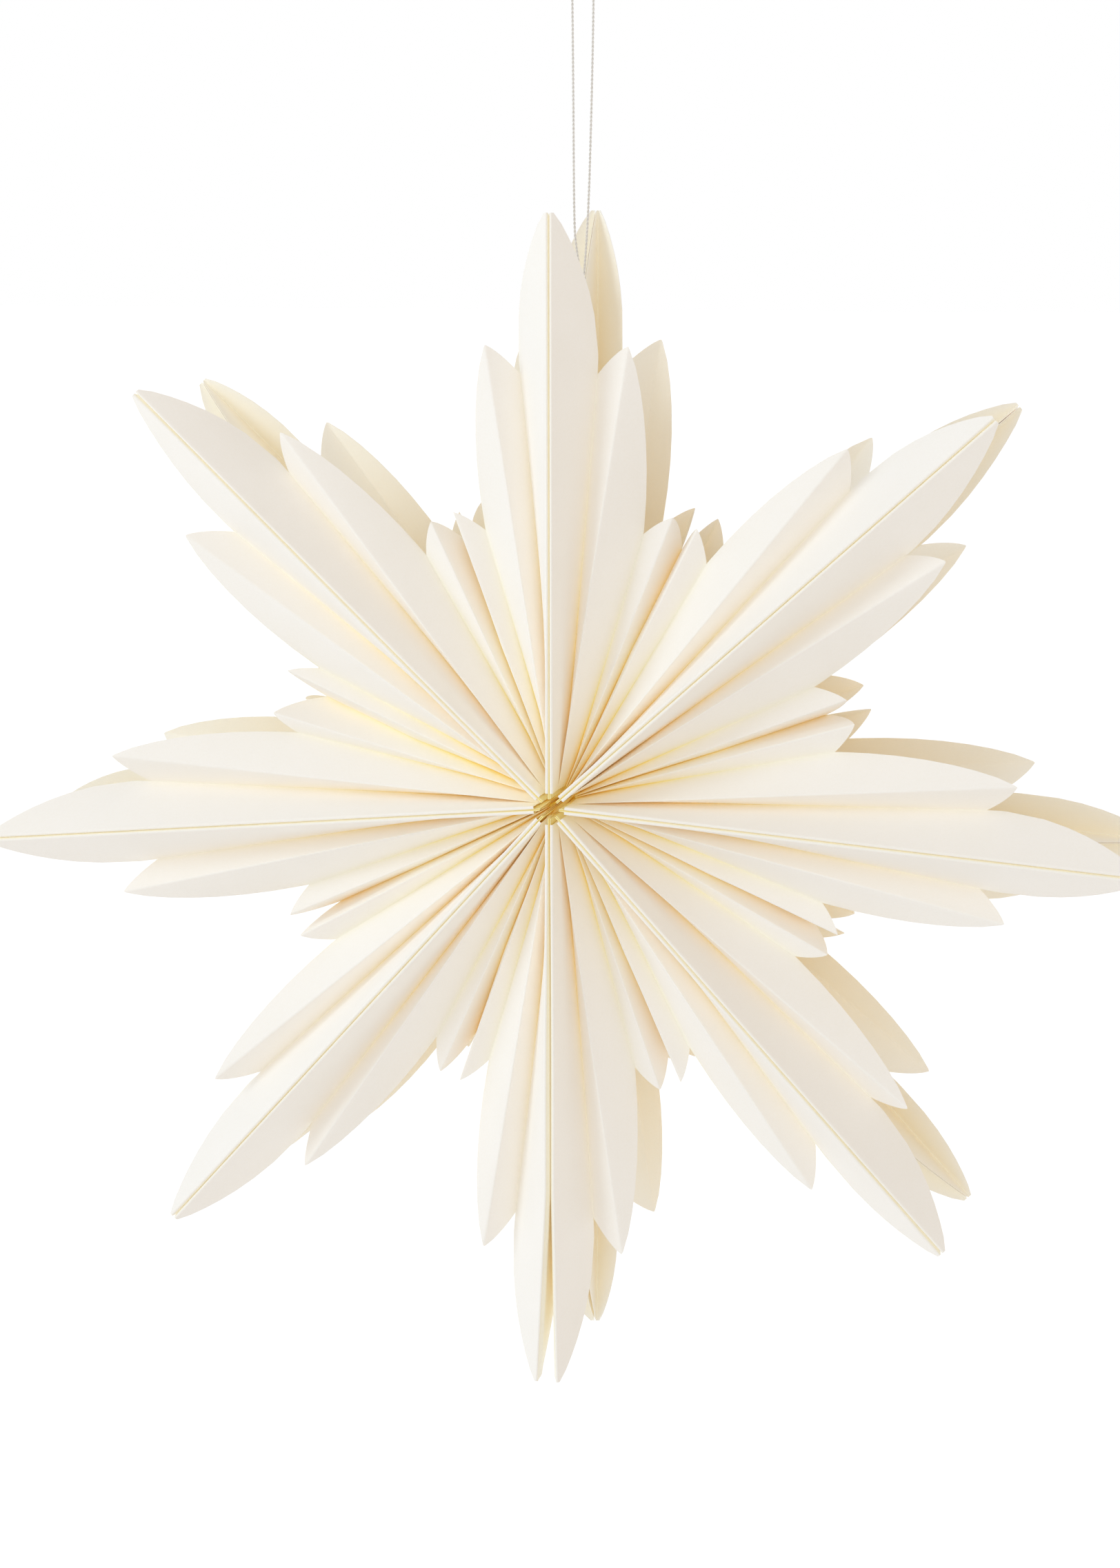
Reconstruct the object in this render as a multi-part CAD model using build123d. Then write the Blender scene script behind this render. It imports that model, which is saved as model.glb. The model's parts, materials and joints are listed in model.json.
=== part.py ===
from build123d import *
from dataclasses import dataclass
import math
import os

# Folded paper star on a string loop: eight long points made of sixteen glued half-sectors.
# Frame: origin at the hang point inside the top of the string loop, +Z up, +X to the viewer's right,
# +Y away from the viewer. Millimetres and degrees. Angles of the ribs run from the top of the star.

# Points of the star, as radii from its axis
SHORT_POINT_RADIUS = 158.0
MIDDLE_POINT_STEP = 78.5
LONG_POINT_STEP = 63.5
HUB_RADIUS = 5.0
PLEAT_START_RADIUS = 8.0

# Notches between the points, measured inward from a tip
FIRST_NOTCH_DROP = 17.2
SECOND_NOTCH_DROP = 14.0
THIRD_NOTCH_DROP = 18.0
LEAF_NOTCH_DROP = 87.0
LEAF_EDGE_BOW = 3.3
TIP_WIDTH = 1.5

# Depth of each fold in front of the middle of the star, near the axis and at its outer end
LONG_RIDGE_DEPTH = 60.6
FIRST_VALLEY_DEPTH_IN = 25.2
FIRST_VALLEY_DEPTH_OUT = 31.3
MIDDLE_RIDGE_DEPTH_IN = 44.2
MIDDLE_RIDGE_DEPTH_OUT = 46.0
SECOND_VALLEY_DEPTH_IN = 19.8
SECOND_VALLEY_DEPTH_OUT = 26.0
SHORT_RIDGE_DEPTH_IN = 32.5
SHORT_RIDGE_DEPTH_OUT = 32.1

# Each fold's place between its rib and the middle of its sector, as a share of the sector's angle
FIRST_VALLEY_SHARE = 0.118
MIDDLE_RIDGE_SHARE = 0.19
SECOND_VALLEY_SHARE = 0.352
SHORT_RIDGE_SHARE = 0.45

# Angle of each rib from the top, on the star's right and left. The sides droop under their weight.
RIGHT_RIB_1_ANGLE = 48.2
RIGHT_RIB_2_ANGLE = 95.0
RIGHT_RIB_3_ANGLE = 137.5
LEFT_RIB_1_ANGLE = 46.0
LEFT_RIB_2_ANGLE = 94.7
LEFT_RIB_3_ANGLE = 137.8
CLOSING_SEAM_ANGLE = 180.45
CLOSING_SEAM_OPENING = 2.1

# Paper, glue and the closing pad
PAPER = 0.25
GLUE_THICKNESS = 0.3
GLUE_WIDTH = 10.0
GLUE_MARGIN = 4.0
GLUE_START_RADIUS = 20.0
GLUE_END_DROP = 40.0
SEAM_CLEARANCE = 0.1
PAD_START_RADIUS = 20.0
PAD_LENGTH = 25.0
PAD_DEPTH = 20.0
PAD_CLEARANCE = 0.05

# String, its knot and the hook that it hangs on
STRING_DIAMETER = 1.3
STRING_BEHIND_MIDDLE = 24.0
HOLE_DIAMETER = 4.0
HOLE_DROP = 7.5
TIE_CLEARANCE = 0.25
KNOT_RISE = 34.0
KNOT_RADIUS = 2.4
KNOT_FLAT_HEIGHT = 1.8
STRAND_HALF_SPACING = 0.9
STRING_GAP = 0.2
STRING_REACH = 152.0
HOOK_RADIUS = 5.0

# Cut edge of a petal: a share t of the way from its tip to its notch, it is
# (t * (1 + fullness * (1 - t))) ** power of its full width. Long points are fuller than the others.
LONG_EDGE_FULLNESS = 1.0
LONG_EDGE_POWER = 0.85
EDGE_POWER = 0.7
BLUNT_SHARE = 0.005
EDGE_POINTS = 7

MIDDLE_POINT_RADIUS = SHORT_POINT_RADIUS + MIDDLE_POINT_STEP
LONG_POINT_RADIUS = MIDDLE_POINT_RADIUS + LONG_POINT_STEP
LEAF_NOTCH_RADIUS = LONG_POINT_RADIUS - LEAF_NOTCH_DROP
HALF_PAPER = PAPER / 2
SEAM_HALF_GAP = GLUE_THICKNESS / 2
PLEAT_SEAT = SEAM_HALF_GAP + PAPER + SEAM_CLEARANCE + HALF_PAPER
MEETING_INSET = HALF_PAPER + SEAM_CLEARANCE
SECTOR_MIDDLE = 1 / 2

# The hole lies below the edge of the leaf, at the string's depth behind the middle
LEAF_EDGE_AT_STRING = LEAF_NOTCH_RADIUS + LEAF_NOTCH_DROP * STRING_BEHIND_MIDDLE / LONG_RIDGE_DEPTH
HOLE_RADIUS_FROM_AXIS = LEAF_EDGE_AT_STRING - HOLE_DROP
KNOT_RADIUS_FROM_AXIS = HOLE_RADIUS_FROM_AXIS + KNOT_RISE
STAR_DROP = KNOT_RADIUS_FROM_AXIS + KNOT_FLAT_HEIGHT + STRING_GAP + STRING_REACH
STAR_CENTRE = Vector(0, -STRING_BEHIND_MIDDLE, -STAR_DROP)

FRONT = 1
BACK = -1
CLOCKWISE = 1
ANTICLOCKWISE = -1


@dataclass
class Fold:
    """A straight crease: its share of the sector's angle, its depth at both ends and its outer end."""

    share: float
    depth_in: float
    depth_out: float
    reach: float

    def point(self, sector_angle, radius):
        """Place along the rib, in front of the middle and away from the rib, at this radius."""
        along_crease = (radius - PLEAT_START_RADIUS) / (self.reach - PLEAT_START_RADIUS)
        depth = self.depth_in + (self.depth_out - self.depth_in) * along_crease
        if self.share == 0:
            return Vector(radius, depth, PLEAT_SEAT)
        angle = math.radians(self.share * sector_angle)
        inset = MEETING_INSET if self.share == SECTOR_MIDDLE else 0
        along = radius * math.cos(angle) + inset * math.sin(angle)
        away = radius * math.sin(angle) - inset * math.cos(angle)
        return Vector(along, depth, away)


# From the rib to the middle of the sector: ridges and valleys by turns
FOLDS = [
    Fold(0, LONG_RIDGE_DEPTH, LONG_RIDGE_DEPTH, LONG_POINT_RADIUS),
    Fold(FIRST_VALLEY_SHARE, FIRST_VALLEY_DEPTH_IN, FIRST_VALLEY_DEPTH_OUT,
         MIDDLE_POINT_RADIUS - FIRST_NOTCH_DROP),
    Fold(MIDDLE_RIDGE_SHARE, MIDDLE_RIDGE_DEPTH_IN, MIDDLE_RIDGE_DEPTH_OUT, MIDDLE_POINT_RADIUS),
    Fold(SECOND_VALLEY_SHARE, SECOND_VALLEY_DEPTH_IN, SECOND_VALLEY_DEPTH_OUT,
         SHORT_POINT_RADIUS - SECOND_NOTCH_DROP),
    Fold(SHORT_RIDGE_SHARE, SHORT_RIDGE_DEPTH_IN, SHORT_RIDGE_DEPTH_OUT, SHORT_POINT_RADIUS),
    Fold(SECTOR_MIDDLE, MEETING_INSET, MEETING_INSET, SHORT_POINT_RADIUS - THIRD_NOTCH_DROP),
]
PANELS = len(FOLDS) - 1
NOTCH_RADII = sorted(fold.reach for fold in FOLDS[1::2])


def stops_along(reach):
    """Radii at which the paper is divided, from its inner edge to this reach."""
    return [PLEAT_START_RADIUS, *(radius for radius in NOTCH_RADII if radius < reach), reach]


class Pleats:
    """One folded sheet of paper, from the long ridge at a rib to the valley amid its sector."""

    def __init__(self, rib_plane, turn, face, sector_angle):
        self.rib_plane = rib_plane
        self.turn = turn
        self.face = face
        self.sector_angle = sector_angle

    def crease(self, number, radius):
        return FOLDS[number].point(self.sector_angle, radius)

    def normal(self, panel, radius):
        """Unit normal of the panel between two neighbouring creases."""
        step = 1.0
        start = self.crease(panel, radius)
        along = self.crease(panel, radius + step) - start
        across = self.crease(panel + 1, radius) - start
        return along.cross(across).normalized()

    def place(self, point):
        """A point of the half-sector set at its rib, on the front or the back."""
        return self.rib_plane.from_local_coords(
            Vector(point.X, self.face * point.Y, self.turn * point.Z)
        )

    def inner_side(self, number):
        """The face of the paper inside a fold: behind a ridge, in front of a valley."""
        return 1 if number % 2 == 0 else -1

    def crease_point(self, number, panel, radius, side):
        """A point of a panel's face at a crease: mitred inside the fold, square to the panel outside."""
        middle = self.crease(number, radius)
        own = self.normal(panel, radius)
        neighbour = number - 1 if panel == number else number
        if side == self.inner_side(number) and 0 <= neighbour < PANELS:
            other = self.normal(neighbour, radius)
            return middle + (own + other) * (HALF_PAPER * side / (1 + own.dot(other)))
        return middle + own * (HALF_PAPER * side)

    def crease_line(self, number, panel, start, end, side):
        ends = [self.place(self.crease_point(number, panel, radius, side)) for radius in (start, end)]
        return Edge.make_line(*ends)

    def outline_point(self, panel, radius, side):
        """A point on the cut edge of a petal, which narrows from its notch to its tip."""
        ridge, valley = sorted((panel, panel + 1), key=lambda number: number % 2)
        notch = FOLDS[valley].reach
        if radius <= notch:
            return self.crease_point(valley, panel, notch, side)
        share = 1 - (1 - BLUNT_SHARE) * (radius - notch) / (FOLDS[ridge].reach - notch)
        if ridge == 0:
            width = (share * (1 + LONG_EDGE_FULLNESS * (1 - share))) ** LONG_EDGE_POWER
        else:
            width = share**EDGE_POWER
        on_ridge = self.crease(ridge, radius)
        on_cut = on_ridge + (self.crease(valley, radius) - on_ridge) * width
        return on_cut + self.normal(panel, radius) * (HALF_PAPER * side)

    def outline(self, panel, start, end, side):
        """The cut edge between two radii, with its points closer together towards the tip."""
        steps = [math.sin(math.pi / 2 * n / (EDGE_POINTS - 1)) for n in range(EDGE_POINTS)]
        radii = [start + (end - start) * step for step in steps]
        return Edge.make_spline(
            [self.place(self.outline_point(panel, radius, side)) for radius in radii]
        )

    def panel_faces(self, panel):
        """The faces of one flat panel: both sides of the paper and its free edges."""
        ridge, valley = sorted((panel, panel + 1), key=lambda number: number % 2)
        stops = stops_along(FOLDS[ridge].reach)
        faces = []
        rows = []
        for start, end in zip(stops, stops[1:]):
            cut = start >= FOLDS[valley].reach
            ridge_lines = [self.crease_line(ridge, panel, start, end, side) for side in (1, -1)]
            if cut:
                other_lines = [self.outline(panel, start, end, side) for side in (1, -1)]
            else:
                other_lines = [self.crease_line(valley, panel, start, end, side) for side in (1, -1)]
            for ridge_line, other_line in zip(ridge_lines, other_lines):
                faces.append(Face.make_surface_from_curves(ridge_line, other_line))
            if cut or valley == PANELS:
                faces.append(Face.make_surface_from_curves(*other_lines))
            if ridge == 0:
                faces.append(Face.make_surface_from_curves(*ridge_lines))
            rows.append((ridge_lines, other_lines))
        inner = [Edge.make_line(a @ 0, b @ 0) for a, b in zip(*rows[0])]
        outer = [Edge.make_line(a @ 1, b @ 1) for a, b in zip(*rows[-1])]
        faces.append(Face.make_surface_from_curves(*inner))
        faces.append(Face.make_surface_from_curves(*outer))
        return faces

    def bend_faces(self, number):
        """The narrow back of a fold between its two panels, and the ends of that strip."""
        inside = self.inner_side(number)
        stops = stops_along(FOLDS[number].reach)
        faces = []
        for start, end in zip(stops, stops[1:]):
            lines = [self.crease_line(number, panel, start, end, -inside) for panel in (number - 1, number)]
            faces.append(Face.make_surface_from_curves(*lines))
        for radius in (stops[0], stops[-1]):
            corners = [
                self.crease_point(number, number - 1, radius, -inside),
                self.crease_point(number, number, radius, -inside),
                self.crease_point(number, number, radius, inside),
            ]
            faces.append(Face(Wire.make_polygon([self.place(corner) for corner in corners])))
        return faces

    def solid(self):
        faces = []
        for panel in range(PANELS):
            faces += self.panel_faces(panel)
        for number in range(1, PANELS):
            faces += self.bend_faces(number)
        return Solid(Shell(faces))


def rib_plane_at(angle):
    """Plane of a rib: its X runs outward, its Y to the front and its Z clockwise round the star."""
    turn = math.radians(angle)
    outward = (math.sin(turn), 0, math.cos(turn))
    clockwise = (math.cos(turn), 0, -math.sin(turn))
    return Plane(origin=STAR_CENTRE, x_dir=outward, z_dir=clockwise)


def seam_leaf(rib_plane, turn, seam_gap, with_hole):
    """Flat leaf of a long point: straight front and back edges, two tips and a notch between them."""
    inner_front = (HUB_RADIUS, LONG_RIDGE_DEPTH)
    front_tip = (LONG_POINT_RADIUS, LONG_RIDGE_DEPTH)
    cut_start = (LONG_POINT_RADIUS, LONG_RIDGE_DEPTH - TIP_WIDTH)
    notch = (LEAF_NOTCH_RADIUS, 0)
    chord = Vector(*cut_start) - Vector(*notch)
    outward = Vector(chord.Y, -chord.X).normalized()
    middle = Vector(*notch) + chord * 0.5 + outward * LEAF_EDGE_BOW
    front_half = make_face([
        Line((HUB_RADIUS, 0), inner_front),
        Line(inner_front, front_tip),
        Line(front_tip, cut_start),
        ThreePointArc(cut_start, middle, notch),
        Line(notch, (HUB_RADIUS, 0)),
    ])
    outline = front_half + mirror(front_half, about=Plane.XZ)
    if with_hole:
        hole = Pos(HOLE_RADIUS_FROM_AXIS, -STRING_BEHIND_MIDDLE) * Circle(HOLE_DIAMETER / 2)
        outline = outline - hole
    seat = rib_plane.offset(turn * seam_gap)
    return extrude(seat * outline, amount=PAPER, dir=rib_plane.z_dir * turn)


def seam_glue(rib_plane):
    """Two films of glue between the leaves of a long point, along its front and back ridges."""
    length = LONG_POINT_RADIUS - GLUE_END_DROP - GLUE_START_RADIUS
    along = GLUE_START_RADIUS + length / 2
    depth = LONG_RIDGE_DEPTH - GLUE_MARGIN - GLUE_WIDTH / 2
    films = [
        extrude(
            rib_plane.offset(-SEAM_HALF_GAP) * Pos(along, face * depth) * Rectangle(length, GLUE_WIDTH),
            amount=GLUE_THICKNESS,
            dir=rib_plane.z_dir,
        )
        for face in (FRONT, BACK)
    ]
    return Compound(films)


def closing_pad(right_plane, left_plane):
    """Wedge of adhesive between the two end leaves, near the axis where they come close."""
    corners = [
        plane.from_local_coords(Vector(radius, 0, turn * PAD_CLEARANCE))
        for plane, turn, radii in (
            (right_plane, CLOCKWISE, (PAD_START_RADIUS, PAD_START_RADIUS + PAD_LENGTH)),
            (left_plane, ANTICLOCKWISE, (PAD_START_RADIUS + PAD_LENGTH, PAD_START_RADIUS)),
        )
        for radius in radii
    ]
    section = Face(Wire.make_polygon(corners))
    return extrude(section, amount=PAD_DEPTH / 2, dir=(0, 1, 0), both=True)


def hanging_string():
    """Loop of cord: two straight strands from the knot, joined by an arc over the hook."""
    arc_radius = HOOK_RADIUS + STRING_DIAMETER / 2
    arc_centre = Vector(0, 0, -HOOK_RADIUS)
    foot = Vector(-STRAND_HALF_SPACING, 0, -STRING_REACH)
    reach = foot - arc_centre
    tangent_angle = math.atan2(reach.Z, reach.X) - math.acos(arc_radius / reach.length)
    left = arc_centre + Vector(math.cos(tangent_angle), 0, math.sin(tangent_angle)) * arc_radius
    top = arc_centre + Vector(0, 0, arc_radius)
    path = Wire([
        Edge.make_line(foot, left),
        Edge.make_three_point_arc(left, top, Vector(-left.X, 0, left.Z)),
        Edge.make_line(Vector(-left.X, 0, left.Z), Vector(-foot.X, 0, foot.Z)),
    ])
    section = Plane(origin=foot, z_dir=path % 0) * Circle(STRING_DIAMETER / 2)
    string = sweep(section, path)
    section_area = math.pi * STRING_DIAMETER**2 / 4
    print(f"hanging string: {path.length:.1f} mm, volume {string.volume:.1f} mm3,"
          f" section times length {section_area * path.length:.1f} mm3,"
          f" arc radius {arc_radius:.2f} mm")
    return string


def string_tie():
    """Knot of the string and the small loop below it, through the hole of the top leaves."""
    cord_radius = STRING_DIAMETER / 2
    half_width = SEAM_HALF_GAP + PAPER + TIE_CLEARANCE + cord_radius
    rim_height = HOLE_RADIUS_FROM_AXIS + HOLE_DIAMETER / 2 - STAR_DROP
    bend_height = rim_height + half_width - cord_radius - TIE_CLEARANCE
    knot_height = KNOT_RADIUS_FROM_AXIS - STAR_DROP
    path = Wire([
        Edge.make_line((-half_width, 0, knot_height), (-half_width, 0, bend_height)),
        Edge.make_three_point_arc((-half_width, 0, bend_height), (0, 0, bend_height - half_width),
                                  (half_width, 0, bend_height)),
        Edge.make_line((half_width, 0, bend_height), (half_width, 0, knot_height)),
    ])
    section = Plane(origin=path @ 0, z_dir=path % 0) * Circle(cord_radius)
    loop = sweep(section, path)
    ball = Pos(0, 0, knot_height) * Sphere(KNOT_RADIUS)
    knot = split(ball, bisect_by=Plane.XY.offset(knot_height + KNOT_FLAT_HEIGHT), keep=Keep.BOTTOM)
    return loop + knot


def write(node, shape):
    export_step(shape, f"parts/{node}.step")


os.makedirs("parts", exist_ok=True)

right_end = CLOSING_SEAM_ANGLE - CLOSING_SEAM_OPENING / 2
left_end = CLOSING_SEAM_ANGLE + CLOSING_SEAM_OPENING / 2
ribs = [
    ("top", 0),
    ("right_1", RIGHT_RIB_1_ANGLE),
    ("right_2", RIGHT_RIB_2_ANGLE),
    ("right_3", RIGHT_RIB_3_ANGLE),
    ("right_end", right_end),
    ("left_end", left_end),
    ("left_3", 360 - LEFT_RIB_3_ANGLE),
    ("left_2", 360 - LEFT_RIB_2_ANGLE),
    ("left_1", 360 - LEFT_RIB_1_ANGLE),
    ("top", 360),
]

# Sixteen half-sectors, clockwise from the top. The two end leaves lie on the seam that opens.
segment = 0
for start, end in zip(ribs, ribs[1:]):
    if start[0] == "right_end":
        continue
    sector_angle = end[1] - start[1]
    for (rib_name, rib_angle), turn in ((start, CLOCKWISE), (end, ANTICLOCKWISE)):
        segment += 1
        name = f"segment_{segment:02d}"
        plane = rib_plane_at(rib_angle % 360)
        seam_gap = 0 if rib_name.endswith("end") else SEAM_HALF_GAP
        write(f"{name}_leaf", seam_leaf(plane, turn, seam_gap, rib_name == "top"))
        write(f"{name}_front_pleats", Pleats(plane, turn, FRONT, sector_angle).solid())
        write(f"{name}_back_pleats", Pleats(plane, turn, BACK, sector_angle).solid())

for rib_name, rib_angle in ribs[:-1]:
    if not rib_name.endswith("end"):
        write(f"{rib_name}_seam_glue", seam_glue(rib_plane_at(rib_angle)))

write("closing_pad", closing_pad(rib_plane_at(right_end), rib_plane_at(left_end)))
write("hanging_string", hanging_string())
write("string_tie", string_tie())
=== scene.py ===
import json
import math
import random
from collections import namedtuple

import bpy
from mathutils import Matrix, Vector

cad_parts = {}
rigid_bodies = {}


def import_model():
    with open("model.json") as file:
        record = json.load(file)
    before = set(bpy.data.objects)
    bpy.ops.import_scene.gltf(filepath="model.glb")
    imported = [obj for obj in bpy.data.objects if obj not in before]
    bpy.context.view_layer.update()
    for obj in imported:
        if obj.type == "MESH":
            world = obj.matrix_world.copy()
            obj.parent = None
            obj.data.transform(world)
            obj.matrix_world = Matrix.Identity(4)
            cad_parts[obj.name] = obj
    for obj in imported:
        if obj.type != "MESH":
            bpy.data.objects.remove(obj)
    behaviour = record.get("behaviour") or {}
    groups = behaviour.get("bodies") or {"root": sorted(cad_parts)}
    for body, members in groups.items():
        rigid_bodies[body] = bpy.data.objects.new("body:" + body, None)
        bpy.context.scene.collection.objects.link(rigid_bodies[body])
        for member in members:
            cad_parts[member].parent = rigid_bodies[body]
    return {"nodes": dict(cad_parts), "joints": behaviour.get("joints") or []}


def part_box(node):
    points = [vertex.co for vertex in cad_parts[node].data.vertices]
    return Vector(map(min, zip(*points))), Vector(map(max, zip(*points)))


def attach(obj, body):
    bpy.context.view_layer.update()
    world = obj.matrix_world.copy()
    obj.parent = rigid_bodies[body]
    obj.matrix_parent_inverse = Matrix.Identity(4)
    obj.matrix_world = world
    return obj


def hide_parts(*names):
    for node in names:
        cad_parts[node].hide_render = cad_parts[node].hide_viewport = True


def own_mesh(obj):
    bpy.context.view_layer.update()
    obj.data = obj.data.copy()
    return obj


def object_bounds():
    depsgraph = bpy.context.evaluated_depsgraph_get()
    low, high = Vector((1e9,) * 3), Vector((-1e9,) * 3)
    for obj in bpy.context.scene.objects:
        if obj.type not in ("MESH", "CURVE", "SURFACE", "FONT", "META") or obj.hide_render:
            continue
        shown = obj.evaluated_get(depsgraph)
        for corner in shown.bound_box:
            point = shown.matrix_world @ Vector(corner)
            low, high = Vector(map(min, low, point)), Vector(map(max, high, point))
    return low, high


# A folded paper star on a string loop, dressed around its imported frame. Metres and degrees.
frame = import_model()
cad_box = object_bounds()
bpy.ops.object.select_all(action="DESELECT")

# Points of the star, as radii from its axis
SHORT_TIP = 0.158
MIDDLE_TIP = 0.2365
LONG_TIP = 0.300
PLEAT_START = 0.008
LEAF_START = 0.005
FIRST_NOTCH = 0.2193
SECOND_NOTCH = 0.144
THIRD_NOTCH = 0.140
LEAF_NOTCH = 0.213
LEAF_EDGE_BOW = 0.0059

# Folds from a rib to the middle of its sector: share of the sector's angle, depth in front of the
# middle of the star near the axis and at the outer end, and reach from the axis
Fold = namedtuple("Fold", "share depth_in depth_out reach")
LONG_RIDGE_DEPTH = 0.0606
FOLDS = [
    Fold(0.0, LONG_RIDGE_DEPTH, LONG_RIDGE_DEPTH, LONG_TIP),
    Fold(0.118, 0.0252, 0.0313, FIRST_NOTCH),
    Fold(0.19, 0.0442, 0.0460, MIDDLE_TIP),
    Fold(0.352, 0.0198, 0.0260, SECOND_NOTCH),
    Fold(0.45, 0.0325, 0.0321, SHORT_TIP),
    Fold(0.5, 0.020, 0.0002, THIRD_NOTCH),
]
PANELS = len(FOLDS) - 1
LONG_RIDGE = 0
FIRST_VALLEY = 1
SHORT_RIDGE = 4
MIDDLE_VALLEY = PANELS
MIDDLE_VALLEY_DIVES_AT = 0.085

# The short points of one sector on the left stand further apart than the others, and some long
# petals are narrower
WIDE_SECTOR = "left_fold_2"
WIDE_SHORT_SHARE = 0.412
NARROW_PETALS = {"segment_01": 0.104, "segment_08": 0.094}

# Cut edges of the petals from tip to notch. A long petal keeps its length over a blunt tip, then
# falls as 1 - (1 - share) ** fullness. The other petals fall as share ** (1 / EDGE_POWER).
LONG_EDGE_FULLNESS = 0.56
STRAIGHT_EDGE_FULLNESS = 0.75
STRAIGHT_EDGES = ("segment_03", "segment_14")
EDGE_POWER = 0.8
BLUNT_SHARE = 0.05

# Paper and the way it folds
PAPER = 0.00025
RIDGE_FOLD_RADIUS = 0.0007
LEAF_REACH = LONG_RIDGE_DEPTH - RIDGE_FOLD_RADIUS
CREASE_ROUNDING = 0.0009
MOST_ROUNDED_SHARE = 0.2
MEETING_INSET = 0.00014
PANEL_BOW = [0.0007, 0.0004, 0.0006, 0.0003, 0.0005]
PANEL_BOW_CHANCE = (0.3, 1.2)
PANELS_BOW_OVER = 0.06
PAPER_SMOOTH_ANGLE = 35

# Leaves of the glued ribs: how far the middle of the paper stands from the rib
GLUED_LEAF = 0.000275
PINCHED_LEAF = 0.00014
LEAF_FLARE = 0.0002
FLARE_WIDTH = 0.0012
GLUE_END = 0.255
TIP_SPREAD = 0.0002
TIP_SPREAD_CHANCE = (0.3, 1.0)
TIP_SPREAD_POWER = 1.5

# Leaves of the closing seam, with a groove along their edges and open front tips, and their pad
END_LEAF = 0.000125
SEAM_HALF_GAP = 0.00055
PINCHED_SEAM = 0.0002
SEAM_GROOVE = 0.003
SEAM_FRONT_FLARE = 0.0009
SEAM_FLARES_OVER = 0.160
SEAM_OPENS_AT = 0.200
SEAM_TIP_OFF = {"right_end": 0.0034, "left_end": 0.0062}
PAD_CLEARANCE = 0.00003
PAD_BEVEL_SHARE = 0.35
PAD_BEVEL_STEPS = 4
PAD_SMOOTH_ANGLE = 40

# Painted bounce light and fold shade: a golden tone, from 0 to 1, painted into the paper's colour
# where light bounces between the sheets: its strength, and the distance over which it falls off
VALLEY_TONE_REACH = 0.0025
MIDDLE_VALLEY_EXTRA_REACH = 0.003
AXIS_EXTRA_REACH = 0.003
VALLEY_TONE_FADES_OVER = 0.10
FAR_VALLEY_TONE = 0.04
AXIS_TONE = 0.1
AXIS_TONE_REACH = 0.045
HUB_TONE = 0.30
HUB_TONE_REACH = 0.006
RIDGE_TONE = 0.5
RIDGE_TONE_POWER = 3
LEAF_TONE = 0.12
LEAF_AXIS_TONE = 0.45
LEAF_AXIS_TONE_REACH = 0.06
LEAF_HUB_TONE = 0.15

# Divisions of the paper
ROWS = 40
FOLD_STEPS = 6
PANEL_STEPS = 6
LEAF_STEPS = (0, 0.0003, 0.0006, 0.0009, 0.0012, 0.0016, 0.0021,
              0.003, 0.006, 0.012, 0.022, 0.035, 0.048)

# String, its knot and its loop through the top leaves
STRING_DIAMETER = 0.0013
TWIST_PITCH = 0.0042
STEPS_PER_TWIST = 10
PLY_OVERLAP = 1.05
ROUTE_STEPS = 16
KNOT_RADIUS = 0.0024
KNOT_RISE = 0.26495
KNOT_DEPTH_SHARE = 1.6
KNOT_HEIGHT_SHARE = 0.8
KNOT_STRING_SHARE = 0.9
KNOT_STEPS = 48
TREFOIL_RADIUS = 3
TIE_HALF_WIDTH = 0.0013
TIE_TOP_SHARE = 0.6
TIE_TOP_DROP = 0.012
TIE_STEPS = 12
HOLE_RISE = 0.23995
HOLE_RADIUS = 0.002
HOLE_CLEARANCE = 0.0006
HOLE_SIDES = 32
PUNCH_DEPTH = 4 * HOLE_RADIUS

# Colours, and the features per metre of the patterns on them
WHITE = (1, 1, 1)
PALE_OUTSIDE = (0.993, 0.962, 0.915)
# Painted bounce light: the inside of the sheets is the same paper, painted more golden
PALE_INSIDE_BOUNCE_LIT = (0.994, 0.970, 0.897)
# Cream and golden are painted bounce light and fold shade, laid on by the painted golden tone
CREAM_BOUNCE_LIGHT = (0.993, 0.961, 0.835)
CREAM_TONE = 0.35
GOLDEN_BOUNCE_LIGHT = (0.995, 0.908, 0.28)
MOTTLE = (0.99, 0.988, 0.982)
MOTTLES = 45
FIBRE = (0.99, 0.987, 0.98)
FIBRES = 900
PAPER_GRAINS = 1400
COTTON_DARK = (0.70, 0.675, 0.64)
COTTON_LIGHT = (0.86, 0.84, 0.81)
COTTON_TUFTS = 2200
COTTON_GRAINS = 3500
GLUE_DARK = (0.62, 0.50, 0.26)
GLUE_LIGHT = (0.74, 0.62, 0.36)
GLUE_GRAINS = 600
FOAM_DARK = (0.74, 0.72, 0.66)
FOAM_LIGHT = (0.88, 0.86, 0.80)
FOAM_GRAINS = 1500

# Camera of the photograph
CAMERA_AZIMUTH = 11.62
CAMERA_ELEVATION = 8.40
CAMERA_DISTANCE = 2.196
CAMERA_LENS = 96.7
CAMERA_SHIFT = (-0.0082, 0.0053)

# Floor, which grows paler behind the star and far away, and the light of the studio
FLOOR_DROP = 0.45
FLOOR_SIZE = 60.0
FLOOR_SHADE = (0.65, 0.65, 0.65)
BEHIND_SPAN = (-0.6, 0.6)
BEHIND_GLOW = (0.19, 0.65)
FAR_SPAN = (1.5, 6)
FAR_GLOW = (0, 0.6)
SKY_LEFT = (0.96, 0.99, 1.045)
SKY_RIGHT = (1.01, 0.925, 0.825)
SKY_STRENGTH = 0.705
LIGHT_BOUNCES = 64

FRONT = 1
BACK = -1
CLOCKWISE = 1
ANTICLOCKWISE = -1

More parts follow.
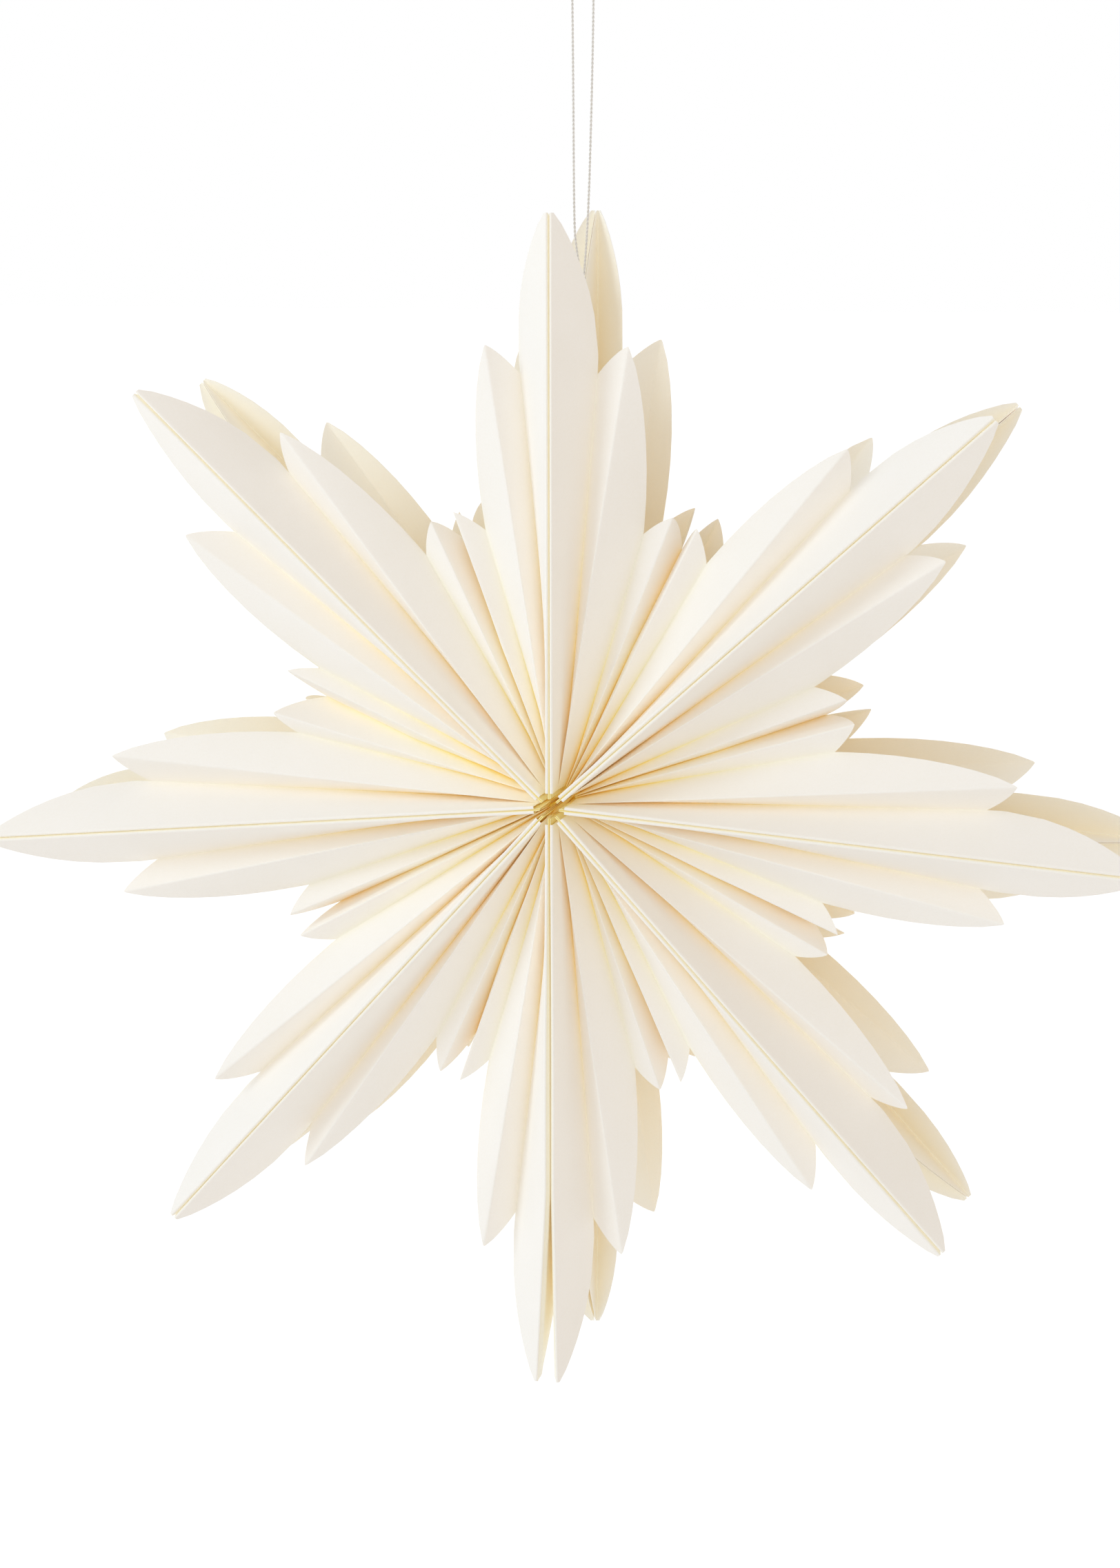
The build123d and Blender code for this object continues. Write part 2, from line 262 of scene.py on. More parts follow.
top_leaf_low, top_leaf_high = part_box("segment_01_leaf")
star_centre = Vector((0, (top_leaf_low.y + top_leaf_high.y) / 2, top_leaf_high.z - LONG_TIP))
chance = random.Random(8)


def smooth(share):
    """From 0 to 1 without a corner at either end."""
    share = min(1.0, max(0.0, share))
    return share * share * (3 - 2 * share)


def swell(share):
    """From 0 up to 1 in the middle and back to 0."""
    return 4 * share * (1 - share)


def fall_off(distance, reach):
    """From 1 towards 0, down to about a third at the reach."""
    return math.exp(-distance / reach)


def groove(from_edge, width, flat, pinched, edge):
    """How far a leaf stands off: flared at its edge, pinched a width below the edge, then flat."""
    below = flat + (pinched - flat) * smooth(2 - from_edge / width)
    return below + (edge - below) * smooth(1 - from_edge / width)


def ridge_and_valley(panel):
    """Numbers of the two creases beside a panel: ridges are even and valleys odd."""
    return sorted((panel, panel + 1), key=lambda number: number % 2)


class HalfSector:
    """One glued half of a sector: its rib, the side of the rib that it lies on, and what carries it."""

    def __init__(self, number, rib_angle, turn, sector_angle, body, joint):
        self.name = f"segment_{number:02d}"
        self.turn = turn
        self.sector_angle = math.radians(sector_angle)
        self.body = body
        self.joint = joint
        angle = math.radians(rib_angle)
        self.outward = Vector((math.sin(angle), 0, math.cos(angle)))
        self.clockwise = Vector((math.cos(angle), 0, -math.sin(angle)))
        self.lean = abs(self.outward.x)
        self.seam_tip_off = SEAM_TIP_OFF.get(body)
        self.leaf_away = END_LEAF if self.seam_tip_off else GLUED_LEAF
        self.spread = TIP_SPREAD * chance.uniform(*TIP_SPREAD_CHANCE)
        self.folds = list(FOLDS)
        if joint == WIDE_SECTOR:
            self.folds[SHORT_RIDGE] = FOLDS[SHORT_RIDGE]._replace(share=WIDE_SHORT_SHARE)
        if self.name in NARROW_PETALS:
            self.folds[FIRST_VALLEY] = FOLDS[FIRST_VALLEY]._replace(share=NARROW_PETALS[self.name])

    def place(self, along, depth, away, face):
        """A point along the rib, in front of or behind the middle, and away from the rib."""
        return (star_centre + self.outward * along + Vector((0, -face * depth, 0))
                + self.clockwise * (self.turn * away))

    def seam_away(self, radius, depth):
        """How far a leaf of the closing seam stands from its rib, which leans from the seam's middle.

        The leaf nearly touches its twin below its edges, and opens towards its front tip.
        """
        edge = SEAM_HALF_GAP
        if depth > 0:
            edge += SEAM_FRONT_FLARE * smooth(radius / SEAM_FLARES_OVER)
        away = groove(LEAF_REACH - abs(depth), SEAM_GROOVE, SEAM_HALF_GAP, PINCHED_SEAM, edge)
        opening = max(0.0, radius - SEAM_OPENS_AT) / (LONG_TIP - SEAM_OPENS_AT)
        front_off = opening * (self.seam_tip_off - edge)
        return away + front_off * (1 + depth / LEAF_REACH) / 2 - self.lean * radius

    def edge_away(self, radius, face):
        """How far the leaf's folded edge stands from the rib: more beyond the end of the glue."""
        if self.seam_tip_off:
            return self.seam_away(radius, face * LEAF_REACH)
        beyond = max(0.0, (radius - GLUE_END) / (LONG_TIP - GLUE_END))
        return self.leaf_away + LEAF_FLARE + self.spread * beyond**TIP_SPREAD_POWER

    def groove_away(self, along, from_edge, face):
        """How far a glued leaf stands from the rib: it touches its twin below the edge, then flares."""
        return groove(from_edge, FLARE_WIDTH, self.leaf_away, PINCHED_LEAF, self.edge_away(along, face))

    def crease(self, number, radius, face):
        """Place along the rib, depth and distance from the rib of a crease at this radius."""
        fold = self.folds[number]
        start = MIDDLE_VALLEY_DIVES_AT if number == MIDDLE_VALLEY else PLEAT_START
        run = max(0.0, radius - start)
        depth = fold.depth_in + (fold.depth_out - fold.depth_in) * run / (fold.reach - start)
        if number == LONG_RIDGE:
            away = self.edge_away(radius, face) + RIDGE_FOLD_RADIUS
            return Vector((radius, depth - RIDGE_FOLD_RADIUS, away))
        angle = fold.share * self.sector_angle
        inset = MEETING_INSET if number == MIDDLE_VALLEY else 0
        return Vector((radius * math.cos(angle) + inset * math.sin(angle), depth,
                       radius * math.sin(angle) - inset * math.cos(angle)))


def half_sectors():
    """The sixteen half-sectors, clockwise from the top, from the joints that fold them."""
    joints = {joint["name"]: joint for joint in frame["joints"]}
    right = [joints[name] for name in ("right_fan_fold", "right_fold_2", "right_fold_3", "right_fold_4")]
    left = [joints[name] for name in ("left_fold_4", "left_fold_3", "left_fold_2", "left_fan_fold")]
    sectors = []
    angle = 0.0
    for joint in right:
        sectors.append((angle, joint, joint["parent"], joint["child"]))
        angle += joint["range_deg"][1]
    angle = 360 - sum(joint["range_deg"][1] for joint in left)
    for joint in left:
        sectors.append((angle, joint, joint["child"], joint["parent"]))
        angle += joint["range_deg"][1]
    halves = []
    for start, joint, start_body, end_body in sectors:
        width = joint["range_deg"][1]
        ribs = ((start, CLOCKWISE, start_body), (start + width, ANTICLOCKWISE, end_body))
        for rib, turn, body in ribs:
            halves.append(HalfSector(len(halves) + 1, rib, turn, width, body, joint["name"]))
    return halves


def outline_radius(half, panel, share):
    """Radius of the cut edge of a petal, a share of the way from its ridge to its valley."""
    ridge, valley = ridge_and_valley(panel)
    tip, notch = FOLDS[ridge].reach, FOLDS[valley].reach
    if ridge == LONG_RIDGE:
        share = max(0.0, share - BLUNT_SHARE) / (1 - BLUNT_SHARE)
        fullness = STRAIGHT_EDGE_FULLNESS if half.name in STRAIGHT_EDGES else LONG_EDGE_FULLNESS
        fall = 1 - (1 - share) ** fullness
    else:
        fall = share ** (1 / EDGE_POWER)
    return tip - fall * (tip - notch)


class FoldedPaper:
    """The front or back paper of a half-sector as a grid: columns from its rib, rows from the axis."""

    # Shares of the rounding by which a crease and the points beside it move in
    ROUNDING = (1 / 4, 1 / 16, 0)

    def __init__(self, half, face):
        self.half = half
        self.face = face
        self.bows = [bow * chance.uniform(*PANEL_BOW_CHANCE) for bow in PANEL_BOW]
        self.columns = [("fold", step / FOLD_STEPS) for step in range(FOLD_STEPS)]
        for panel in range(PANELS):
            stations = len(self.ROUNDING) * 2 + PANEL_STEPS - 1
            self.columns += [(panel, station) for station in range(stations)]
        self.columns.append((PANELS - 1, stations))

    def share_across(self, station, width):
        """Share of a panel's width at a station: close steps beside the creases, even ones between."""
        close = len(self.ROUNDING) - 1
        last = close * 2 + PANEL_STEPS + 1
        rim = min(CREASE_ROUNDING / width, MOST_ROUNDED_SHARE)
        if station <= close:
            return rim * station / close
        if station >= last - close:
            return 1 - rim * (last - station) / close
        return rim + (1 - 2 * rim) * (station - close) / (last - 2 * close)

    def point(self, column, share_out):
        """The place of a grid point, and how much painted golden bounce light and shade it gets."""
        panel, station = self.columns[column]
        if panel == "fold":
            return self.ridge_fold(station, share_out)
        ridge, valley = ridge_and_valley(panel)
        reach = [PLEAT_START + share_out * (FOLDS[number].reach - PLEAT_START)
                 for number in (panel, panel + 1)]
        middle = (reach[0] + reach[1]) / 2
        width = (self.crease(panel + 1, middle) - self.crease(panel, middle)).length
        across = self.share_across(station, width)
        from_ridge = across if ridge == panel else 1 - across
        radius = PLEAT_START + share_out * (outline_radius(self.half, panel, from_ridge) - PLEAT_START)
        creases = {number: self.crease(number, radius) for number in range(len(FOLDS))}
        if ridge == LONG_RIDGE:
            creases[LONG_RIDGE] = self.ridge_end(radius)
        place = creases[panel].lerp(creases[panel + 1], across)
        place += self.bow(panel, across, radius, creases)
        place += self.rounding(panel, station, creases)
        to_valley = (1 - from_ridge) * width
        return place, self.painted_bounce(valley, to_valley, radius)

    def crease(self, number, radius):
        return self.half.crease(number, radius, self.face)

    def ridge_direction(self, radius):
        """Slope of the first panel behind the long ridge, from straight back."""
        centre = self.crease(LONG_RIDGE, radius)
        reach = self.crease(FIRST_VALLEY, radius) - centre
        return math.atan2(reach.z, -reach.y)

    def ridge_end(self, radius):
        """Where the rounded long ridge runs into the first panel."""
        slope = self.ridge_direction(radius)
        outside = Vector((0, math.sin(slope), math.cos(slope)))
        return self.crease(LONG_RIDGE, radius) + outside * RIDGE_FOLD_RADIUS

    def ridge_fold(self, share_round, share_out):
        """A point of the rounded long ridge, from the leaf's edge round to the first panel."""
        radius = PLEAT_START + share_out * (LONG_TIP - PLEAT_START)
        sweep = math.pi - self.ridge_direction(radius)
        turn = -math.pi / 2 + sweep * share_round
        place = self.crease(LONG_RIDGE, radius)
        place += Vector((0, math.cos(turn), math.sin(turn))) * RIDGE_FOLD_RADIUS
        # Painted golden shade in the gap between the glued leaves, strongest at the leaf's edge
        return place, RIDGE_TONE * (1 - share_round)**RIDGE_TONE_POWER

    def bow(self, panel, across, radius, creases):
        """Slight swelling of a panel between its creases."""
        direction = (creases[panel + 1] - creases[panel]).normalized()
        normal = Vector((0, direction.z, -direction.y))
        opening = min(1.0, (radius - PLEAT_START) / PANELS_BOW_OVER)
        return normal * (self.bows[panel] * swell(across) * opening)

    def rounding(self, panel, station, creases):
        """How far a point beside a crease moves in to make the crease round."""
        last = len(self.ROUNDING) * 2 + PANEL_STEPS - 1
        number = panel if station < len(self.ROUNDING) else panel + 1
        beside = min(station, last - station)
        if beside >= len(self.ROUNDING) or number in (LONG_RIDGE, MIDDLE_VALLEY):
            return Vector()
        before = (creases[number] - creases[number - 1]).normalized()
        after = (creases[number + 1] - creases[number]).normalized()
        return (after - before) * (CREASE_ROUNDING * self.ROUNDING[beside])

    def painted_bounce(self, valley, to_valley, radius):
        """Painted golden bounce light and shade in the valleys, near the axis and at the hub."""
        near_axis = fall_off(radius, AXIS_TONE_REACH)
        extra = MIDDLE_VALLEY_EXTRA_REACH if valley == MIDDLE_VALLEY else 0.0
        in_valley = fall_off(to_valley, VALLEY_TONE_REACH + extra + AXIS_EXTRA_REACH * near_axis)
        fading = FAR_VALLEY_TONE + (1 - FAR_VALLEY_TONE) * fall_off(radius, VALLEY_TONE_FADES_OVER)
        at_hub = fall_off(radius - PLEAT_START, HUB_TONE_REACH)
        return min(1.0, in_valley * fading + AXIS_TONE * near_axis + HUB_TONE * at_hub)


def new_grid(name, columns, rows):
    """A flat square grid one metre across, with nothing else selected."""
    bpy.ops.object.select_all(action="DESELECT")
    bpy.ops.mesh.primitive_grid_add(x_subdivisions=columns, y_subdivisions=rows, size=1)
    sheet = bpy.context.object
    sheet.name = sheet.data.name = name
    return sheet


def thicken(sheet, outside):
    """Face the sheet outwards, give it the thickness of paper and smooth it up to its folds."""
    facing = sum(face.normal.dot(outside) * face.area for face in sheet.data.polygons)
    if facing < 0:
        bpy.ops.object.mode_set(mode="EDIT")
        bpy.ops.mesh.select_all(action="SELECT")
        bpy.ops.mesh.flip_normals()
        bpy.ops.object.mode_set(mode="OBJECT")
    sheet.data.materials.append(paper_outside)
    # Inner faces take the inside copy of the paper, painted more golden for bounce light
    sheet.data.materials.append(paper_inside_bounce_lit)
    solidify = sheet.modifiers.new("paper", "SOLIDIFY")
    solidify.thickness = PAPER
    solidify.offset = 0
    solidify.material_offset = 1
    bpy.ops.object.modifier_apply(modifier=solidify.name)
    bpy.ops.object.shade_smooth_by_angle(angle=math.radians(PAPER_SMOOTH_ANGLE))


def write_painted_bounce(sheet, values):
    """Keep the painted golden bounce light and shade of each point for the paper's material."""
    attribute = sheet.data.attributes.new("painted_bounce", "FLOAT", "POINT")
    attribute.data.foreach_set("value", values)


def make_pleats(half, face):
    """Folded paper from a rib to the middle of its sector, on the front or the back of the star."""
    folded = FoldedPaper(half, face)
    last = len(folded.columns) - 1
    side = "front" if face == FRONT else "back"
    sheet = new_grid(f"{half.name}_{side}_paper", last, ROWS)
    painted_bounces = []
    for vertex in sheet.data.vertices:
        column = round((vertex.co.x + 0.5) * last)
        place, painted_bounce = folded.point(column, vertex.co.y + 0.5)
        vertex.co = half.place(*place, face)
        painted_bounces.append(painted_bounce)
    write_painted_bounce(sheet, painted_bounces)
    thicken(sheet, Vector((0, -face, 0)))
    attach(sheet, half.body)
    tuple(half.clockwise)
    half.place(0, 0, half.leaf_away + PAPER, face)
    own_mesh(sheet)
    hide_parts(f"{half.name}_{side}_pleats")


def make_leaf(half):
    """Flat leaf of a long point, with a notch between its two tips and edges that flare at the folds."""
    depths = [LEAF_REACH - step for step in LEAF_STEPS]
    depths = [-depth for depth in depths] + [0] + depths[::-1]
    last = len(depths) - 1
    sheet = new_grid(f"{half.name}_leaf_paper", last, ROWS)
    painted_bounces = []
    for vertex in sheet.data.vertices:
        depth = depths[round((vertex.co.x + 0.5) * last)]
        out = abs(depth) / LEAF_REACH
        end = LEAF_NOTCH + (LONG_TIP - LEAF_NOTCH) * out + LEAF_EDGE_BOW * swell(out)
        along = LEAF_START + (vertex.co.y + 0.5) * (end - LEAF_START)
        if half.seam_tip_off:
            away = half.seam_away(along, depth)
        else:
            away = half.groove_away(along, LEAF_REACH - abs(depth), FRONT if depth > 0 else BACK)
        vertex.co = half.place(along, depth, away, FRONT)
        # Painted golden bounce light and shade on the leaf, more near the axis and at the hub
        near_axis = fall_off(along, LEAF_AXIS_TONE_REACH)
        at_hub = fall_off(along - LEAF_START, HUB_TONE_REACH)
        painted_bounces.append(LEAF_TONE + LEAF_AXIS_TONE * near_axis + LEAF_HUB_TONE * at_hub)
    write_painted_bounce(sheet, painted_bounces)
    thicken(sheet, half.clockwise * half.turn)
    if half.body == "top_rib":
        cut_string_hole(sheet)
    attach(sheet, half.body)
    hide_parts(f"{half.name}_leaf")


def make_pad():
    """Thin foam pad that holds the two leaves of the closing seam together near the axis."""
    low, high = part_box("closing_pad")
    bpy.ops.object.select_all(action="DESELECT")
    bpy.ops.mesh.primitive_cube_add(size=1)
    piece = bpy.context.object
    piece.name = piece.data.name = "closing_pad_foam"
    size = Vector((2 * SEAM_HALF_GAP - PAPER - 2 * PAD_CLEARANCE, high.y - low.y, high.z - low.z))
    centre = Vector((0, (low.y + high.y) / 2, (low.z + high.z) / 2))
    for vertex in piece.data.vertices:
        vertex.co = centre + vertex.co * size
    bevel = piece.modifiers.new("soft edges", "BEVEL")
    bevel.width = size.x * PAD_BEVEL_SHARE
    bevel.segments = PAD_BEVEL_STEPS
    bpy.ops.object.modifier_apply(modifier=bevel.name)
    bpy.ops.object.shade_smooth_by_angle(angle=math.radians(PAD_SMOOTH_ANGLE))
    piece.data.materials.append(pad)
    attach(piece, "right_end")
    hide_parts("closing_pad")


def cut_string_hole(sheet):
    """Punch the round hole that the string goes through."""
    bpy.ops.object.select_all(action="DESELECT")
    bpy.ops.mesh.primitive_cylinder_add(vertices=HOLE_SIDES, radius=HOLE_RADIUS, depth=PUNCH_DEPTH,
                                        location=(0, 0, star_centre.z + HOLE_RISE),
                                        rotation=(0, math.pi / 2, 0))
    punch = bpy.context.object
    bpy.ops.object.select_all(action="DESELECT")
    sheet.select_set(True)
    bpy.context.view_layer.objects.active = sheet
    cut = sheet.modifiers.new("hole", "BOOLEAN")
    cut.operation = "DIFFERENCE"
    cut.object = punch
    bpy.ops.object.modifier_apply(modifier=cut.name)
    bpy.data.objects.remove(punch)


def route_points(points, resolution):
    """Points along the smooth line that these control points draw."""
    curve = bpy.data.curves.new("route", "CURVE")
    curve.dimensions = "3D"
    curve.resolution_u = resolution
    spline = curve.splines.new("NURBS")
    spline.points.add(len(points) - 1)
    for control, point in zip(spline.points, points):
        control.co = (*point, 1)
    spline.order_u = 3
    spline.use_endpoint_u = True
    route = bpy.data.objects.new("route", curve)
    bpy.context.scene.collection.objects.link(route)
    line = bpy.data.meshes.new_from_object(route)
    found = [vertex.co.copy() for vertex in line.vertices]
    bpy.data.objects.remove(route)
    bpy.data.curves.remove(curve)
    bpy.data.meshes.remove(line)
    return found


def even_points(points, step):
    """The same line with points a step apart."""
    found = [points[0].copy()]
    left = step
    for start, end in zip(points, points[1:]):
        span = (end - start).length
        at = left
        while at <= span:
            found.append(start.lerp(end, at / span))
            at += step
        left = at - span
    found.append(points[-1].copy())
    return found


def twisted_cord(name, points, diameter):
    """Two twisted plies along a line of points, as one mesh."""
    ply_radius = diameter / 4
    step = TWIST_PITCH / STEPS_PER_TWIST
    line = even_points(points, step)
    tangents = [(b - a).normalized() for a, b in zip(line, line[1:])]
    tangents.append(tangents[-1])
    side = tangents[0].orthogonal().normalized()
    sides = []
    for tangent in tangents:
        side = (side - tangent * side.dot(tangent)).normalized()
        sides.append(side)
    plies = []
    for ply in (0, 1):
        curve = bpy.data.curves.new(f"{name}_ply", "CURVE")
        curve.dimensions = "3D"
        curve.bevel_depth = ply_radius * PLY_OVERLAP
        curve.bevel_resolution = 1
        curve.use_fill_caps = True
        spline = curve.splines.new("POLY")
        spline.points.add(len(line) - 1)
        for count, (centre, tangent, across) in enumerate(zip(line, tangents, sides)):
            turn = 2 * math.pi * count * step / TWIST_PITCH + math.pi * ply
            around = across * math.cos(turn) + tangent.cross(across) * math.sin(turn)
            spline.points[count].co = (*(centre + around * ply_radius), 1)
        strand = bpy.data.objects.new(f"{name}_ply", curve)
        bpy.context.scene.collection.objects.link(strand)
        plies.append(strand)
    bpy.ops.object.select_all(action="DESELECT")
    for strand in plies:
        strand.select_set(True)
    bpy.context.view_layer.objects.active = plies[0]
    bpy.ops.object.convert(target="MESH")
    bpy.ops.object.join()
    cord = bpy.context.object
    cord.name = cord.data.name = name
    cord.data.materials.clear()
    cord.data.materials.append(cotton)
    bpy.ops.object.shade_smooth()
    return cord


def make_string():
    """Loop of thin cotton string from its knot over the hook, and the tie through the top leaves."""
    route = [
        (-0.0009, 0, -0.161),
        (-0.0030, 0, -0.1475),
        (-0.0043, 0, -0.136),
        (-0.0047, 0, -0.070),
        (-0.0053, 0, -0.012),
        (-0.0057, 0, 0.00065),
        (0.0057, 0, 0.00065),
        (0.0060, 0, -0.014),
        (0.0050, 0, -0.070),
        (0.0030, 0, -0.138),
        (0.0009, 0, -0.161),
    ]
    points = route_points(route, ROUTE_STEPS)
    length = sum((b - a).length for a, b in zip(points, points[1:]))
    string = twisted_cord("hanging_string_plies", points, STRING_DIAMETER)
    tie = make_tie()
    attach(string, "hanger")
    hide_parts("hanging_string")


def knot_points(height):
    """An overhand knot at this height, drawn by the formula of a trefoil."""
    scale = (KNOT_RADIUS - STRING_DIAMETER / 2) / TREFOIL_RADIUS
    turns = [2 * math.pi * step / KNOT_STEPS for step in range(KNOT_STEPS + 1)]
    return [
        Vector((scale * (math.sin(t) + 2 * math.sin(2 * t)),
                scale * KNOT_DEPTH_SHARE * -math.sin(3 * t),
                scale * (math.cos(t) - 2 * math.cos(2 * t)) * KNOT_HEIGHT_SHARE + height))
        for t in turns
    ]


def make_tie():
    """Overhand knot below the hanging loop, and the small loop of string under it."""
    knot_height = star_centre.z + KNOT_RISE
    bottom = star_centre.z + HOLE_RISE + HOLE_RADIUS - STRING_DIAMETER / 2 - HOLE_CLEARANCE
    loop = route_points([
        (-TIE_HALF_WIDTH * TIE_TOP_SHARE, 0, knot_height),
        (-TIE_HALF_WIDTH, 0, knot_height - TIE_TOP_DROP),
        (-TIE_HALF_WIDTH, 0, bottom),
        (TIE_HALF_WIDTH, 0, bottom),
        (TIE_HALF_WIDTH, 0, knot_height - TIE_TOP_DROP),
        (TIE_HALF_WIDTH * TIE_TOP_SHARE, 0, knot_height),
    ], TIE_STEPS)
    below = twisted_cord("tie_loop", loop, STRING_DIAMETER)
    knot = twisted_cord("tie_knot", knot_points(knot_height), STRING_DIAMETER * KNOT_STRING_SHARE)
    bpy.ops.object.select_all(action="DESELECT")
    below.select_set(True)
    knot.select_set(True)
    bpy.context.view_layer.objects.active = below
    bpy.ops.object.join()
    below.name = below.data.name = "string_tie_plies"
    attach(below, "top_rib")
    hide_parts("string_tie")
    return below


def new_material(name):
    material = bpy.data.materials.new(name)
    material.use_nodes = True
    nodes = material.node_tree.nodes
    shader = nodes["Principled BSDF"]
    return material, nodes, material.node_tree.links, shader


def noise(nodes, links, scale, detail):
    """Noise on the piece's own coordinates, features of about 1 / scale metres."""
    place = nodes.new("ShaderNodeTexCoord")
    texture = nodes.new("ShaderNodeTexNoise")
    texture.inputs["Scale"].default_value = scale
    texture.inputs["Detail"].default_value = detail
    links.new(place.outputs["Object"], texture.inputs["Vector"])
    return texture.outputs["Fac"]


def ramp(nodes, links, factor, stops):
    """Colours over a factor, as pairs of place and colour in order."""
    node = nodes.new("ShaderNodeValToRGB")
    elements = node.color_ramp.elements
    for element, (place, colour) in zip(elements, (stops[0], stops[-1])):
        element.position = place
        element.color = (*colour, 1)
    for place, colour in stops[1:-1]:
        elements.new(place).color = (*colour, 1)
    links.new(factor, node.inputs["Fac"])
    return node.outputs["Color"]


def multiply(nodes, links, colour, other):
    node = nodes.new("ShaderNodeMix")
    node.data_type = "RGBA"
    node.blend_type = "MULTIPLY"
    node.inputs["Factor"].default_value = 1
    links.new(colour, node.inputs["A"])
    links.new(other, node.inputs["B"])
    return node.outputs["Result"]


def bump(nodes, links, shader, height, strength, distance):
    node = nodes.new("ShaderNodeBump")
    node.inputs["Strength"].default_value = strength
    node.inputs["Distance"].default_value = distance
    links.new(height, node.inputs["Height"])
    links.new(node.outputs["Normal"], shader.inputs["Normal"])


def paper(name, pale):
    """Uncoated paper: fibres, a faint mottle, and painted golden bounce light and fold shade."""
    material, nodes, links, shader = new_material(name)
    painted_bounce = nodes.new("ShaderNodeAttribute")
    painted_bounce.attribute_name = "painted_bounce"
    # Painted bounce light and fold shade: from the paper's own colour through cream to golden
    tones = [(0.0, pale), (CREAM_TONE, CREAM_BOUNCE_LIGHT), (1.0, GOLDEN_BOUNCE_LIGHT)]
    tone = ramp(nodes, links, painted_bounce.outputs["Fac"], tones)
    mottle = ramp(nodes, links, noise(nodes, links, MOTTLES, detail=4), [(0.3, MOTTLE), (0.7, WHITE)])
    fibres = ramp(nodes, links, noise(nodes, links, FIBRES, detail=3), [(0.35, FIBRE), (0.6, WHITE)])
    colour = multiply(nodes, links, multiply(nodes, links, tone, mottle), fibres)
    links.new(colour, shader.inputs["Base Color"])
    grain = noise(nodes, links, PAPER_GRAINS, detail=4)
    bump(nodes, links, shader, grain, strength=0.12, distance=0.0002)
    shader.inputs["Roughness"].default_value = 0.82
    shader.inputs["Specular IOR Level"].default_value = 0.25
    return material


def cotton_string():
    """Soft undyed cotton: uneven tone and short fibres."""
    material, nodes, links, shader = new_material("cotton")
    tufts = noise(nodes, links, COTTON_TUFTS, detail=4)
    colour = ramp(nodes, links, tufts, [(0.3, COTTON_DARK), (0.7, COTTON_LIGHT)])
    links.new(colour, shader.inputs["Base Color"])
    grain = noise(nodes, links, COTTON_GRAINS, detail=3)
    bump(nodes, links, shader, grain, strength=0.4, distance=0.0001)
    shader.inputs["Roughness"].default_value = 0.9
    shader.inputs["Sheen Weight"].default_value = 0.2
    return material


def plain_finish(name, dark, light, scale, roughness):
    """Dried glue or pad: uneven tone and a slightly pitted surface."""
    material, nodes, links, shader = new_material(name)
    grain = noise(nodes, links, scale, detail=5)
    links.new(ramp(nodes, links, grain, [(0.3, dark), (0.7, light)]), shader.inputs["Base Color"])
    bump(nodes, links, shader, grain, strength=0.2, distance=0.0002)
    shader.inputs["Roughness"].default_value = roughness
    return material


def axis_value(nodes, links, vector, axis):
    split = nodes.new("ShaderNodeSeparateXYZ")
    links.new(vector, split.inputs["Vector"])
    return split.outputs[axis]


def fade(nodes, links, place, over, values):
    """A value that goes smoothly from one end to the other over a span of places."""
    node = nodes.new("ShaderNodeMapRange")
    node.interpolation_type = "SMOOTHSTEP"
    node.inputs["From Min"].default_value, node.inputs["From Max"].default_value = over
    node.inputs["To Min"].default_value, node.inputs["To Max"].default_value = values
    links.new(place, node.inputs["Value"])
    return node.outputs["Result"]


def finish_node(node, material):
    """Give a carried-over solid its finish."""
    piece = frame["nodes"][node]
    piece.data.materials.clear()
    piece.data.materials.append(material)


def make_floor():
    """Plain pale floor far below the star, paler behind it and far away."""
    bpy.ops.object.select_all(action="DESELECT")
    bpy.ops.mesh.primitive_plane_add(size=FLOOR_SIZE, location=(0, 0, cad_box[0].z - FLOOR_DROP))
    floor = bpy.context.object
    floor.name = "floor"
    material, nodes, links, shader = new_material("pale_floor")
    shader.inputs["Base Color"].default_value = (*FLOOR_SHADE, 1)
    shader.inputs["Emission Color"].default_value = (*WHITE, 1)
    place = nodes.new("ShaderNodeTexCoord").outputs["Object"]
    behind = fade(nodes, links, axis_value(nodes, links, place, "Y"), BEHIND_SPAN, BEHIND_GLOW)
    away = nodes.new("ShaderNodeVectorMath")
    away.operation = "LENGTH"
    links.new(place, away.inputs[0])
    far = fade(nodes, links, away.outputs["Value"], FAR_SPAN, FAR_GLOW)
    glow = nodes.new("ShaderNodeMath")
    glow.operation = "MAXIMUM"
    links.new(behind, glow.inputs[0])
    links.new(far, glow.inputs[1])
    links.new(glow.outputs["Value"], shader.inputs["Emission Strength"])
    floor.data.materials.append(material)


